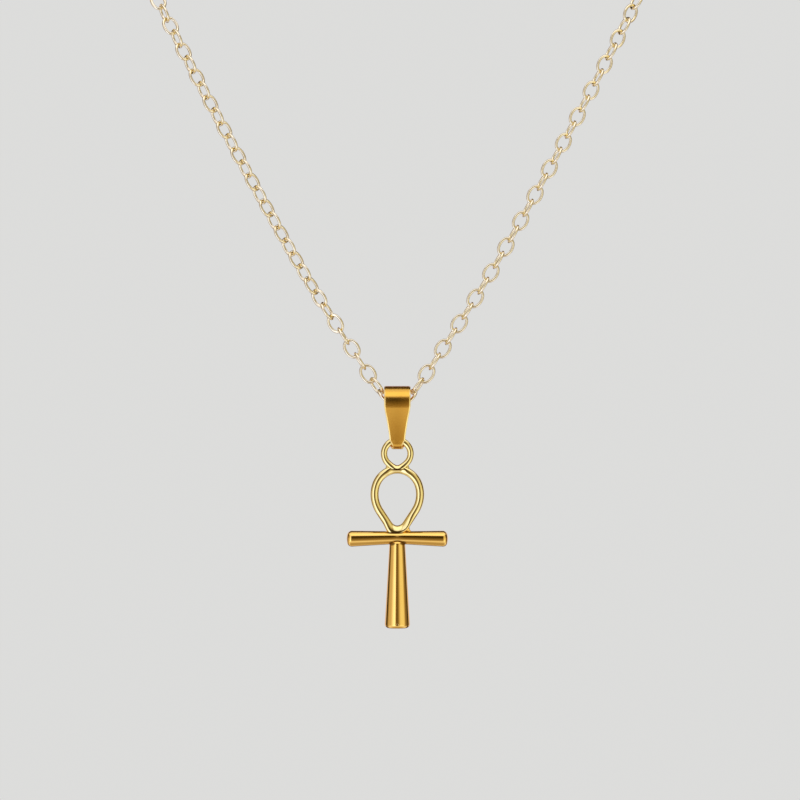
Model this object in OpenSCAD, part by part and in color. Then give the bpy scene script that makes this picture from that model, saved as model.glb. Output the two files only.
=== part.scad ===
// Ankh pendant on a cable chain, as it hangs when worn. Millimetres, +Z up, the wearer faces -Y.
// The origin is the middle of the clasp, where the loop of chain lies on the nape.

/* [Chain link] */
// Outer length of a link
link_len = 4.12; // [3.8:0.02:5]
// Outer width of a link
link_wid = 3.1; // [2.8:0.1:3.8]
// Wire diameter of a link
link_wire = 0.52; // [0.4:0.02:0.6]
// Clearance between a link and the next
link_gap = 0.12; // [0.1:0.01:0.2]

/* [Bail] */
// Width of the bail at its top
bail_wid = 5.2; // [4.4:0.1:6.4]
// Width of the bail above its round tip
bail_tip_wid = 3; // [2.4:0.1:3.6]
// Thickness of the folded strip
bail_strip = 0.45; // [0.3:0.05:0.7]
// Height of the bail from its top to its lowest edge
bail_len = 12.5; // [10:0.1:16]
// Clearance between the chain and the bail all round the swing
bail_gap = 0.12; // [0.1:0.01:0.3]
// Height of the axis of the bail's round top above the middle link
bail_lift = 0.2; // [-0.3:0.05:0.7]
// Height that the front tongue ends above the under-bend
tongue_step = 0.42; // [0.2:0.02:0.8]

/* [Ring] */
// Mean diameter of the ring
ring_dia = 5.24; // [4.6:0.02:7]
// Wire diameter of the ring
ring_wire = 1.3; // [1:0.05:1.6]
// Clearance beside the ring's wire in the fold of the bail
ring_side_gap = 0.2; // [0.15:0.01:0.4]
// Clearance between the ring's wire and the fold under it
ring_gap = 0.35; // [0.2:0.01:0.5]

/* [Loop] */
// Width of the opening of the loop
loop_open_wid = 7.35; // [6.5:0.05:8]
// Height of the opening of the loop
loop_open_len = 10.25; // [9.2:0.05:13]
// Height of the opening above its widest level
loop_crown = 4.1; // [3.9:0.05:4.6]
// Wire diameter of the loop
loop_wire = 1.65; // [1.2:0.05:2]
// Mean radius of the sides of the loop
loop_side_rad = 5.95; // [5.6:0.05:7]
// Radius of the round bottom of the opening
loop_base_rad = 1.18; // [0.8:0.02:1.8]

/* [Crossbar] */
// Length of the crossbar
bar_len = 20; // [16:0.5:26]
// Diameter of the crossbar at its middle
bar_mid_dia = 2.5; // [2:0.1:3]
// Diameter of the crossbar at its ends
bar_end_dia = 3.15; // [2.4:0.05:4]
// Angle by which each arm droops
bar_droop = 1.4; // [0:0.1:3]

/* [Stem] */
// Length of the stem from the axis of the crossbar
stem_len = 17.85; // [14:0.05:24]
// Diameter of the stem under the crossbar
stem_top_dia = 3.15; // [2.6:0.05:4]
// Diameter of the stem at its foot
stem_end_dia = 5; // [3.6:0.05:6]
// Diameter of the casting pit near the foot
pit_dia = 0.4; // [0.2:0.05:0.6]

/* [Clasp] */
// Length of the clasp
clasp_len = 12; // [10:0.5:16]
// Diameter of the body of the clasp
clasp_dia = 2.4; // [1.6:0.1:4]
// Mean diameter of an eye of the clasp
eye_dia = 2.2; // [2:0.1:3]
// Wire diameter of an eye of the clasp
eye_wire = 1; // [0.7:0.1:1.1]

/* [Hidden] */

GOLD = [0.89, 0.68, 0.26];
AMBER = [0.78, 0.55, 0.16];
CHAMPAGNE = [0.87, 0.75, 0.47];
FULL = 360;

// Round end of a fillet or a fused joint, and how deep two fused pieces run into each other
ring_sink = 0.5;
bar_sink = 0.5;
edge_round = 0.35;
stem_round = 0.8;
web_dia = 0.95;
web_wid = 4.6;
foot_dia = 1.4;
foot_wid = 4.9;
pit_height = 0.8;

// The middle link and the next two on each side: tilt from the horizontal, and roll about their own line
BOTTOM_TILTS = [0, 46, 54];
BOTTOM_ROLLS = [90, 26, -20];

// How far up the round end of the middle link the next one hooks in, and how much further than a straight
// chain's links the first two pairs overlap, in wire diameters
HOOK_TURN = 30;
HOOK_EASE = [0.2, 0.4];

// The left strand is turned about its own line between these links, and back again before the clasp
LEFT_TURN = 45;
TURN_STARTS = 3;
TURN_FULL = 12;
TURN_EASES = 45;
TURN_ENDS = 65;

// Chosen points of the right strand, from the middle link: across, back and up, ending at the nape
STRAND = [
    [18.5, 0.5, 26],
    [33, 2, 52],
    [46.5, 6, 78],
    [57, 17, 100],
    [63, 36, 118],
    [61, 60, 131],
    [49, 82, 139],
    [27, 97, 143],
    [0, 102, 144]
];
STEPS = 12;

// Link: round ends and short straight sides
link_a = (link_len - link_wire) / 2;
link_b = (link_wid - link_wire) / 2;
link_side = link_len - link_wid;
link_pitch = 2 * link_a - link_wire - link_gap;
link_hook = link_a - link_wire - link_gap;

// The lowest links, as the level of each hook from the middle link outward, in the plane of the V
function along(angle, length) = [length * cos(angle), 0, length * sin(angle)];
hook_1 = [link_side / 2, 0, 0] + along(HOOK_TURN, link_b);
centre_1 = hook_1 + along(BOTTOM_TILTS[1], link_hook - HOOK_EASE[0] * link_wire);
hook_2 = centre_1 + along(BOTTOM_TILTS[1], link_hook - HOOK_EASE[1] * link_wire);
centre_2 = hook_2 + along(BOTTOM_TILTS[2], link_a);
hook_3 = centre_2 + along(BOTTOM_TILTS[2], link_a);
strand_tilt = atan2(STRAND[0][2] - hook_3[2], STRAND[0][0] - hook_3[0]);
centre_3 = hook_3 + along(strand_tilt, link_hook);

// Strand: a smooth curve through the third link and the chosen points, mirrored past the nape
nape = STRAND[len(STRAND) - 1];
function mirrored(p) = [-p[0], p[1], p[2]];
knots = concat([centre_3 - along(strand_tilt, 20)], [centre_3], STRAND, [mirrored(STRAND[len(STRAND) - 2])]);
function bend(p, q, r, s, t) =
    ((2 * q) + (r - p) * t + (2 * p - 5 * q + 4 * r - s) * t ^ 2 + (3 * q - p - 3 * r + s) * t ^ 3) / 2;
curve = [
    for (i = [1 : len(knots) - 3], j = [0 : STEPS - 1]) bend(knots[i - 1], knots[i], knots[i + 1], knots[i + 2], j / STEPS),
    nape
];
function lengths(p, i = 0, sum = 0) =
    i >= len(p) - 1 ? [sum] : concat([sum], lengths(p, i + 1, sum + norm(p[i + 1] - p[i])));
travel = lengths(curve);
function at_travel(s, i = 0) =
    i >= len(curve) - 2 || travel[i + 1] >= s
        ? curve[i] + (curve[i + 1] - curve[i]) * (s - travel[i]) / (travel[i + 1] - travel[i])
        : at_travel(s, i + 1);

// The last link of each strand hooks into an eye of the clasp, and the count of links comes from the length
clasp_reach = clasp_len / 2 - eye_wire - link_gap + link_a - link_wire / 2;
strand_length = travel[len(travel) - 1] - clasp_reach;
strand_links = 2 * ceil((strand_length / link_pitch - 1) / 2) + 1;
strand_pitch = strand_length / strand_links;
last_link = 3 + strand_links;

// Bail: its hollow clears the wires of the lowest links all the way round its swing
function wire_point(turn, tilt, roll) =
    let (out = link_b * sin(turn))
        along(tilt, link_b * cos(turn) + sign(cos(turn)) * link_side / 2)
            + [-out * sin(tilt) * sin(roll), out * cos(roll), out * cos(tilt) * sin(roll)];
next_wires = [for (turn = [0 : 10 : 350]) centre_1 + wire_point(turn, BOTTOM_TILTS[1], BOTTOM_ROLLS[1])];
wires_in_bail = [for (p = next_wires) if (p[0] < (bail_wid + link_wire) / 2) norm([p[1], p[2] - bail_lift])];
bail_axis = bail_lift;
bail_rad = max(concat(wires_in_bail, [link_b + bail_axis])) + link_wire / 2 + bail_gap;
fold_rad = ring_wire / 2 + ring_side_gap;
bail_top = bail_axis + bail_rad + bail_strip;
bail_foot = bail_top - bail_len;
fold_floor = bail_foot + bail_strip;
fold_axis = fold_floor + fold_rad;
tip_rad = bail_tip_wid / 2;
shoulder = bail_axis - 0.85 * bail_rad;

// Ring: hangs in the fold, and its inside clears the fold's floor where the round tip is widest
fold_half_wid = sqrt(tip_rad ^ 2 - (tip_rad - bail_strip) ^ 2);
ring_rad = ring_dia / 2;
ring_axis = fold_floor + ring_gap - sqrt((ring_rad - ring_wire / 2) ^ 2 - fold_half_wid ^ 2);

// Loop: crown, sides, straight legs and a round bottom, all tangent
loop_half = (loop_open_wid + loop_wire) / 2;
crown_len = loop_crown + loop_wire / 2;
side_shift = loop_side_rad - loop_half;
crown_over = crown_len - loop_half;
crown_rad = loop_half - crown_over ^ 2 / (2 * (side_shift - crown_over));
crown_lift = crown_len - crown_rad;
side_angle = atan2(crown_lift, side_shift);
loop_below = loop_open_len + loop_wire - crown_len;
base_rad = loop_base_rad + loop_wire / 2;
base_drop = loop_below - base_rad;
leg_angle = atan2(base_drop, side_shift) - acos((loop_side_rad - base_rad) / norm([base_drop, side_shift]));
leg_top = [loop_side_rad * cos(leg_angle) - side_shift, -loop_side_rad * sin(leg_angle)];
leg_foot = [base_rad * cos(leg_angle), -base_drop - base_rad * sin(leg_angle)];
loop_axis = ring_axis - ring_rad - ring_sink - crown_len;

// Crossbar and stem
bar_axis = loop_axis - loop_below - (bar_mid_dia + loop_wire) / 2 + bar_sink;
stem_foot = bar_axis - stem_len;
stem_dome = stem_top_dia / 2;
stem_crown = bar_axis - 0.4 - stem_dome;

// A round wire bent to an arc in the XZ plane, from one angle to another
module wire_arc(radius, wire, from, to) {
    rotate([90, 0, 0])
        rotate([0, 0, from])
            rotate_extrude(angle = to - from, $fn = 48)
                translate([radius, 0])
                    circle(d = wire, $fn = 24);
}

module capsule(length, dia) {
    rotate([0, 90, 0])
        cylinder(h = length - dia, d = dia, center = true, $fn = 24);
    for (side = [-1, 1])
        translate([side * (length - dia) / 2, 0, 0])
            sphere(d = dia, $fn = 24);
}

// A link lies in the XY plane, long along X: two round ends and two straight sides
module link_end(turn) {
    rotate([0, 0, turn])
        translate([link_side / 2, 0, 0])
            rotate([0, 0, -90])
                rotate_extrude(angle = 180, $fn = 32)
                    translate([link_b, 0])
                        circle(d = link_wire, $fn = 16);
}

module link_bar(side) {
    translate([0, side * link_b, 0])
        rotate([0, 90, 0])
            cylinder(h = link_side, d = link_wire, center = true, $fn = 16);
}

module link() {
    link_end(0);
    link_end(180);
    link_bar(-1);
    link_bar(1);
}

// Puts a link at a point, along a direction, rolled about its own line
module place_link(point, direction, roll) {
    translate(point)
        rotate([0, 0, atan2(direction[1], direction[0])])
            rotate([0, -atan2(direction[2], norm([direction[0], direction[1]])), 0])
                rotate([roll, 0, 0])
                    link();
}

function ease(t) = t <= 0 ? 0 : t >= 1 ? 1 : t * t * (3 - 2 * t);
function left_turn(i) =
    LEFT_TURN * (ease((i - TURN_STARTS) / (TURN_FULL - TURN_STARTS)) - ease((i - TURN_EASES) / (TURN_ENDS - TURN_EASES)));
function link_roll(i) = i < 3 ? BOTTOM_ROLLS[i] : i % 2 == 1 ? 90 : 0;
function link_centre(i) = i == 0 ? [0, 0, 0] : i == 1 ? centre_1 : i == 2 ? centre_2 : at_travel((i - 3) * strand_pitch);
function link_line(i) =
    i < 3 ? along(BOTTOM_TILTS[i], 1) : at_travel((i - 2.5) * strand_pitch) - at_travel((i - 3.5) * strand_pitch);

// The middle link and the strand on the right
module chain_right() {
    color(CHAMPAGNE)
        translate(-nape)
            for (i = [0 : last_link])
                place_link(link_centre(i), link_line(i), link_roll(i));
}

module chain_left() {
    color(CHAMPAGNE)
        translate(-nape)
            mirror([1, 0, 0])
                for (i = [1 : last_link])
                    place_link(link_centre(i), link_line(i), link_roll(i) + left_turn(i));
}

// The side view of the strip: round a circle at the top and a smaller one in the fold, joined by tangents
module teardrop(top_rad, low_rad) {
    lean = asin((top_rad - low_rad) / (bail_axis - fold_axis));
    translate([0, bail_axis])
        circle(r = top_rad, $fn = 96);
    translate([0, fold_axis])
        circle(r = low_rad, $fn = 48);
    polygon([
        for (side = [-1, 1], end = side < 0 ? [0, 1] : [1, 0])
            let (rad = end == 0 ? top_rad : low_rad, level = end == 0 ? bail_axis : fold_axis)
                [side * rad * cos(lean), level - rad * sin(lean)]
    ]);
}

// The front view of the strip, with its round tip ending at a level
module outline(tip_level) {
    waist = (shoulder + tip_level) / 2;
    waist_wid = bail_tip_wid + 0.36 * (bail_wid - bail_tip_wid);
    polygon([
        [-bail_wid / 2, bail_top + 1],
        [bail_wid / 2, bail_top + 1],
        [bail_wid / 2, shoulder],
        [waist_wid / 2, waist],
        [tip_rad, tip_level + tip_rad],
        [-tip_rad, tip_level + tip_rad],
        [-waist_wid / 2, waist],
        [-bail_wid / 2, shoulder]
    ]);
    translate([0, tip_level + tip_rad])
        circle(r = tip_rad, $fn = 64);
}

module bail() {
    split = -0.35 * fold_rad;
    depth = bail_rad + bail_strip + 1;
    color(AMBER)
        translate(-nape)
            intersection() {
                rotate([90, 0, 90])
                    linear_extrude(bail_wid + 2, center = true)
                        difference() {
                            teardrop(bail_rad + bail_strip, fold_rad + bail_strip);
                            teardrop(bail_rad, fold_rad);
                        }
                union() {
                    translate([0, depth, 0])
                        rotate([90, 0, 0])
                            linear_extrude(depth - split)
                                outline(bail_foot);
                    translate([0, split, 0])
                        rotate([90, 0, 0])
                            linear_extrude(depth + split)
                                outline(bail_foot + tongue_step);
                }
            }
}

// A soldered joint in the wire of the loop, a hair proud of it, in the XZ plane
module loop_joint(at) {
    translate([at[0], 0, at[1]])
        sphere(d = loop_wire + 0.06, $fn = 24);
}

module loop() {
    translate([0, 0, crown_lift])
        wire_arc(crown_rad, loop_wire, side_angle, 180 - side_angle);
    for (turn = [0, 180])
        rotate([0, 0, turn]) {
            translate([-side_shift, 0, 0])
                wire_arc(loop_side_rad, loop_wire, -leg_angle, side_angle);
            translate([leg_foot[0], 0, leg_foot[1]])
                rotate([0, leg_angle, 0])
                    cylinder(h = norm(leg_top - leg_foot), d = loop_wire, $fn = 24);
            loop_joint([loop_side_rad * cos(side_angle) - side_shift, loop_side_rad * sin(side_angle)]);
            loop_joint(leg_top);
            loop_joint(leg_foot);
        }
    translate([0, 0, -base_drop])
        wire_arc(base_rad, loop_wire, 180 + leg_angle, 360 - leg_angle);
}

// Half of a round bar that widens towards a crowned end with rounded edges
module arm() {
    end_rad = bar_end_dia / 2;
    rotate([0, 90, 0])
        rotate_extrude($fn = 48) {
            polygon([
                [0, 0],
                [bar_mid_dia / 2, 0],
                [end_rad, bar_len / 2 - 2 * edge_round],
                [end_rad - edge_round, bar_len / 2 - edge_round],
                [0, bar_len / 2 - edge_round]
            ]);
            translate([0, bar_len / 2 - 2 * edge_round])
                square([end_rad - edge_round, 1.5 * edge_round]);
            translate([end_rad - edge_round, bar_len / 2 - 2 * edge_round])
                circle(r = edge_round, $fn = 32);
            polygon([[0, bar_len / 2], [end_rad - edge_round, bar_len / 2 - edge_round], [0, bar_len / 2 - edge_round]]);
        }
}

module stem() {
    end_rad = stem_end_dia / 2;
    translate([0, 0, stem_foot])
        rotate_extrude($fn = 64) {
            polygon([
                [0, 0],
                [end_rad - stem_round, 0],
                [end_rad, stem_round],
                [stem_dome, stem_crown - stem_foot],
                [0, stem_crown - stem_foot]
            ]);
            intersection() {
                translate([end_rad - stem_round, stem_round])
                    circle(r = stem_round, $fn = 48);
                square([end_rad, 2 * stem_round]);
            }
        }
    translate([0, 0, stem_crown])
        sphere(r = stem_dome, $fn = 48);
}

module ankh() {
    color(GOLD)
        translate(-nape)
            difference() {
                union() {
                    translate([0, 0, ring_axis])
                        wire_arc(ring_rad, ring_wire, 0, FULL);
                    translate([0, 0, ring_axis - ring_rad - ring_sink / 2])
                        capsule(web_wid, web_dia);
                    translate([0, 0, loop_axis])
                        loop();
                    translate([0, 0, bar_axis + bar_mid_dia / 2 + 0.1])
                        capsule(foot_wid, foot_dia);
                    for (turn = [0, 180])
                        translate([0, 0, bar_axis])
                            rotate([0, 0, turn])
                                rotate([0, bar_droop, 0])
                                    arm();
                    stem();
                }
                translate([0, -stem_end_dia / 2 + 0.05, stem_foot + pit_height])
                    sphere(d = pit_dia, $fn = 24);
            }
}

// A plain closed clasp: a round body with an eye for each end of the chain
module clasp() {
    eye_at = (clasp_len - eye_dia - eye_wire) / 2;
    color(CHAMPAGNE) {
        capsule(2 * eye_at - eye_dia + 0.6 * eye_wire, clasp_dia);
        for (side = [-1, 1])
            translate([side * eye_at, 0, 0])
                wire_arc(eye_dia / 2, eye_wire, 0, FULL);
    }
}

chain_right();
chain_left();
bail();
ankh();
clasp();
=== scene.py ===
"""Ankh pendant on a cable chain: the finished look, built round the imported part."""

import math

import bpy
import numpy as np
from bpy.props import FloatProperty, FloatVectorProperty, IntProperty, PointerProperty
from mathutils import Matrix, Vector


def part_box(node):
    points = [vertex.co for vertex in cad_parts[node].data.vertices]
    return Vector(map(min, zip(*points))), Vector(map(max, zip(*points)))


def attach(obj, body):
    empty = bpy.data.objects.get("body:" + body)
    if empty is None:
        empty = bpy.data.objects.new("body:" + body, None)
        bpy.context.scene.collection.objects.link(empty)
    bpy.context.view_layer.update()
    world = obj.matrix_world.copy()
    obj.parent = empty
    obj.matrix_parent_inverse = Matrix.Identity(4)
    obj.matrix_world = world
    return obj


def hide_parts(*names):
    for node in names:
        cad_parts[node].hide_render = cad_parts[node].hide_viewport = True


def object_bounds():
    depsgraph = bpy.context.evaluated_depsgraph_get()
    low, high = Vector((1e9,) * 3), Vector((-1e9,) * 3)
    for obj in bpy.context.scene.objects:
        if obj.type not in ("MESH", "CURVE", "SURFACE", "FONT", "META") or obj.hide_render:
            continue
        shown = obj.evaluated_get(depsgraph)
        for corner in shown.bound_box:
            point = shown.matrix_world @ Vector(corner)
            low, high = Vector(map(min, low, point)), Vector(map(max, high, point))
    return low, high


bl_info = {
    "name": "Ankh Pendant",
    "version": (1, 0, 0),
    "blender": (4, 5, 0),
    "location": "View3D > Sidebar > Ankh Pendant",
    "description": "Builds the ankh pendant, its bail and its chain round the packed part",
    "category": "Add Mesh",
}

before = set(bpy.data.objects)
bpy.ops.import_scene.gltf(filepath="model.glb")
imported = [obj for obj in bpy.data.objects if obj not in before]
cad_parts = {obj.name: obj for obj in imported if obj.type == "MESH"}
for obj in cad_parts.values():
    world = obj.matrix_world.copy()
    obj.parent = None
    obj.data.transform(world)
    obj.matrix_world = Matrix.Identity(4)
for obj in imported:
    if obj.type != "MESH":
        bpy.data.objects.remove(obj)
CAD_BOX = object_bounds()
ANKH_LOW, ANKH_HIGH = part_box("ankh")
BAIL_LOW, BAIL_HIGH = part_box("bail")
MM = 0.001
TAU = 2 * math.pi

# Middle depth of the ankh and of the bail
ANKH_Y = (ANKH_LOW[1] + ANKH_HIGH[1]) / 2
BAIL_Y = (BAIL_LOW[1] + BAIL_HIGH[1]) / 2


# Sizes and colours


def length(label, about, value, low=0.0001, high=0.1):
    """A length property in metres, given in millimetres."""
    return FloatProperty(
        name=label,
        description=about,
        default=value * MM,
        min=low,
        max=high,
        unit="LENGTH",
        subtype="DISTANCE",
        precision=5,
    )


def degrees(label, about, value):
    """An angle property, given in degrees."""
    return FloatProperty(name=label, description=about, default=math.radians(value), subtype="ANGLE")


def whole(label, about, value, low, high):
    """A whole number."""
    return IntProperty(name=label, description=about, default=value, min=low, max=high)


def colour(label, about, value):
    """A colour property in linear light."""
    return FloatVectorProperty(
        name=label, description=about, default=value, min=0, max=1, size=3, subtype="COLOR"
    )


def amount(label, about, value, low=0.0, high=1.0):
    """A plain share or strength."""
    return FloatProperty(name=label, description=about, default=value, min=low, max=high)


class ChainSettings(bpy.types.PropertyGroup):
    wire: length("Wire", "Diameter of the wire of a link", 0.57)
    round: amount("Roundness", "2 is an oval link, more is squarer", 2.15, 1.6, 4.0)
    roll: degrees("Roll", "Turn of a link that shows its edge", 9)
    around: whole("Steps along", "Steps along the wire of a link", 40, 16, 96)
    sides: whole("Sides", "Sides of the wire of a link", 12, 6, 24)


class BailSettings(bpy.types.PropertyGroup):
    strip: length("Strip", "Thickness of the folded strip", 0.45)
    fold: length("Fold", "Outer radius of the fold at the foot", 1.3)
    bevel: length("Bevel", "Width of the bevel along both edges", 0.25)
    bevel_depth: length("Bevel depth", "Depth of that bevel at the edge", 0.10)
    sag: length("Sag", "How far the front face is hollow between its top and its tongue", 0.09)
    tongue: degrees("Tongue end", "Angle round the fold where the front tongue ends", 47)
    under: degrees("Under-bend end", "Angle round the fold where the under-bend starts", 70)


class RingSettings(bpy.types.PropertyGroup):
    radius: length("Radius", "Mean radius of the ring", 2.62)
    wire: length("Wire", "Diameter of the wire of the ring", 1.3)
    point: length("Point", "How far the bottom of the ring is drawn down", 0.2)


class LoopSettings(bpy.types.PropertyGroup):
    wire: length("Wire", "Diameter of the wire of the loop", 1.65)
    half: length("Half width", "Half of the mean width of the loop", 4.5)
    crown: length("Crown", "Height of the mean line above its widest level", 4.925)
    below: length("Below", "Depth of the mean line below its widest level", 6.975)
    side: length("Side radius", "Mean radius of a side", 5.95)
    base: length("Base radius", "Mean radius of the round bottom", 2.0)
    sink: length("Sink", "How far the ring and the loop run into each other", 0.5)


class BarSettings(bpy.types.PropertyGroup):
    length: length("Length", "Length of the crossbar", 20)
    middle: length("Middle", "Diameter at the middle", 2.5)
    end: length("End", "Diameter near the ends", 3.15)
    corner: length("Corner", "Rounding of the ends", 0.95)
    crowned: length("Crowned", "How far an end stands out at its centre", 0.08, low=0)
    knot: length("Knot", "Height of the small swelling over the stem", 0.035, low=0)
    droop: degrees("Droop", "Angle by which each arm droops", 1.4)


class StemSettings(bpy.types.PropertyGroup):
    below: length("Length", "Length below the axis of the crossbar", 17.85)
    top: length("Top", "Diameter under the crossbar", 3.15)
    head: length("Head", "Level of the stem's head from the axis of the crossbar", -0.38, low=-0.01)
    head_height: length("Head height", "Height of the rounding of the head", 0.95)
    end: length("End", "Diameter at the foot", 5)
    rounding: length("Rounding", "Rounding of the foot", 0.8)
    pit: length("Pit", "Width of the casting pit near the foot", 0.42)
    pit_height: length("Pit height", "Height of the pit above the foot", 0.8)


class FinishSettings(bpy.types.PropertyGroup):
    gold: colour("Gold", "Colour of the crossbar and the stem", (0.94, 0.60, 0.12))
    light: colour("Light gold", "Colour of the ring and the loop", (0.93, 0.74, 0.23))
    amber: colour("Amber gold", "Colour of the bail", (0.82, 0.455, 0.054))
    pale: colour("Pale gold", "Colour of the chain", (0.95, 0.82, 0.43))
    floor: colour("Floor", "Colour of the floor", (0.92, 0.90, 0.60))
    key: amount("Key", "Strength of the top light", 1.0, 0.0, 10.0)


# Numpy surfaces

# Points along the ring and along the loop, and how often the loop is softened
RING_STEPS, LOOP_STEPS, LOOP_SOFTENING = 240, 320, 24

# Points round a wire, round the crossbar and round the stem
WIRE_SIDES, BAR_SIDES, STEM_SIDES = 48, 144, 200

# How full the section of a plain wire is: 1 is a circle, less is squarer
ROUND_WIRE = 0.94

# Distance to which points of a CAD node are told apart
SAME_PLACE = 1e-7


def put(name, data):
    """A mesh, light or camera as a new object in the scene."""
    thing = bpy.data.objects.new(name, data)
    bpy.context.scene.collection.objects.link(thing)
    return thing


def grid_quads(along, around, wrap_along):
    """Four-sided faces between neighbours on a grid that wraps round, and along too if asked."""
    i = np.arange(along if wrap_along else along - 1)[:, None]
    j = np.arange(around)[None, :]
    i2, j2 = (i + 1) % along, (j + 1) % around
    corners = [i * around + j, i2 * around + j, i2 * around + j2, i * around + j2]
    return np.stack(corners, -1).reshape(-1, 4)


def put_mesh(name, points, wrap_along):
    """A grid of points as a closed skin: points[i, j] is step i along and step j round.

    Ends that don't wrap are closed by a fan to their mean point.
    """
    along, around, _ = points.shape
    vertices = points.reshape(-1, 3)
    fans = np.empty((0, 3), int)
    if not wrap_along:
        count = len(vertices)
        vertices = np.vstack([vertices, points[0].mean(0), points[-1].mean(0)])
        ring = np.arange(around)
        following = (ring + 1) % around
        last = (along - 1) * around
        low = np.stack([ring, following, np.full(around, count)], -1)
        high = np.stack([last + following, last + ring, np.full(around, count + 1)], -1)
        fans = np.vstack([low, high])
    return skin(name, vertices, grid_quads(along, around, wrap_along), fans)


def skin(name, vertices, quads, triangles):
    """Vertices, four-sided and three-sided faces as a new smooth mesh, turned to a positive volume."""
    corners = np.concatenate([quads.reshape(-1), triangles.reshape(-1)]).astype(np.int32)
    sizes = np.concatenate([np.full(len(quads), 4), np.full(len(triangles), 3)]).astype(np.int32)
    starts = np.concatenate([[0], np.cumsum(sizes)[:-1]]).astype(np.int32)
    halves = np.vstack([quads[:, [0, 1, 2]], quads[:, [0, 2, 3]], triangles])
    a, b, c = (vertices[halves[:, k]] for k in range(3))
    if np.einsum("ij,ij->", a, np.cross(b, c)) < 0:
        into_face = np.arange(len(corners)) - np.repeat(starts, sizes)
        corners = corners[np.repeat(starts + sizes - 1, sizes) - into_face]
    mesh = bpy.data.meshes.new(name)
    mesh.vertices.add(len(vertices))
    mesh.vertices.foreach_set("co", vertices.astype(np.float32).reshape(-1))
    mesh.loops.add(len(corners))
    mesh.loops.foreach_set("vertex_index", corners)
    mesh.polygons.add(len(sizes))
    mesh.polygons.foreach_set("loop_start", starts)
    mesh.polygons.foreach_set("use_smooth", np.ones(len(sizes), bool))
    mesh.update(calc_edges=True)
    mesh.validate()
    return put(name, mesh)


def tangents(path):
    """Direction of a closed path at each point: towards the next point from the one before."""
    across = np.roll(path, -1, 0) - np.roll(path, 1, 0)
    return across / np.linalg.norm(across, axis=-1, keepdims=True)


def even(path, count):
    """The same closed path with its points at equal distances along it."""
    line = np.vstack([path, path[:1]])
    run = np.concatenate([[0], np.cumsum(np.linalg.norm(np.diff(line, axis=0), axis=1))])
    at = np.linspace(0, run[-1], count + 1)[:-1]
    return np.stack([np.interp(at, run, line[:, k]) for k in range(line.shape[1])], -1)


def soften(path, times):
    """A closed path with each point moved towards its neighbours: a quarter, a half and a quarter."""
    for _ in range(times):
        path = (np.roll(path, 1, 0) + 2 * path + np.roll(path, -1, 0)) / 4
    return path


def arc(centre, radius, start, end, count):
    """Points on a circle from one angle to another, in degrees."""
    angle = np.radians(np.linspace(start, end, count))
    return np.stack([centre[0] + radius * np.cos(angle), centre[1] + radius * np.sin(angle)], -1)


def squared(wave, power):
    """A cosine or sine raised to a power with its sign kept: below 1 the round shape gets fuller."""
    return np.sign(wave) * np.abs(wave) ** power


def plateau(distance, width):
    """A flat-topped bell curve: e to minus the fourth power of the distance as a share of the width."""
    return np.exp(-((distance / width) ** 4))


def from_table(at, rows):
    """A value read from rows of a place and a value, straight between them."""
    places, values = zip(*rows)
    return np.interp(at, places, values)


def wire_skin(path, across, depth, ahead, full, lean):
    """A wire along a closed path in the XZ plane, its sides to the left and right of the path's run.

    Round the wire, the angle t moves the point off the path by across times cos t in the plane and
    by depth times sin t along Y, both raised to full. ahead shifts the wire's middle forward, and
    lean slants its face: that share of the offset in the plane is added along Y.
    """
    line = tangents(path)
    out = np.stack([line[:, 1], -line[:, 0]], -1)
    t = (np.arange(WIRE_SIDES) + 0.5) / WIRE_SIDES * TAU
    off = across[:, None] * squared(np.cos(t), full[:, None])
    back = depth[:, None] * squared(np.sin(t), full[:, None])
    points = np.empty((len(path), WIRE_SIDES, 3))
    points[..., 0] = path[:, None, 0] + out[:, None, 0] * off
    points[..., 2] = path[:, None, 1] + out[:, None, 1] * off
    points[..., 1] = back + lean[:, None] * off - ahead[:, None]
    return points


def at_front(points, height):
    """Moves points from the pendant's own middle to its place in the frame."""
    return points + np.array([0.0, ANKH_Y, height])


def ring_height(s):
    """Level of the ring's middle: the ring is the top of the ankh."""
    return ANKH_HIGH[2] - s.ring.radius - s.ring.wire / 2


def loop_height(s):
    """Level where the loop is widest: the crown's height and the sink below the ring's mean foot."""
    return ring_height(s) - s.ring.radius - s.loop.sink - s.loop.crown


def bar_height(s):
    """Level of the crossbar's axis: the stem's length above the lowest point of the ankh."""
    return ANKH_LOW[2] + s.stem.below


def ring_points(s):
    """A round wire on a circle whose bottom is drawn to a slight point, and a little forward.

    At the bottom the wire gets narrower and fuller, and its face looks up. Each of these changes goes
    with a high power of the sine of the angle below the ring's middle.
    """
    pinch, narrower, forward, fuller, slant = 0.05, 0.16, 0.16 * MM, 0.26, 0.5
    turn = np.arange(RING_STEPS) / RING_STEPS * TAU
    low = np.clip(-np.sin(turn), 0, 1)
    path = s.ring.radius * np.stack([np.cos(turn) * (1 - pinch * low**6), np.sin(turn)], -1)
    path[:, 1] -= s.ring.point * low**10
    radius = np.full(RING_STEPS, s.ring.wire / 2)
    across = radius * (1 - narrower * low**8)
    full = ROUND_WIRE - fuller * low**6
    points = wire_skin(path, across, radius, forward * low**4, full, -slant * low**6)
    return at_front(points, ring_height(s))


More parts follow.
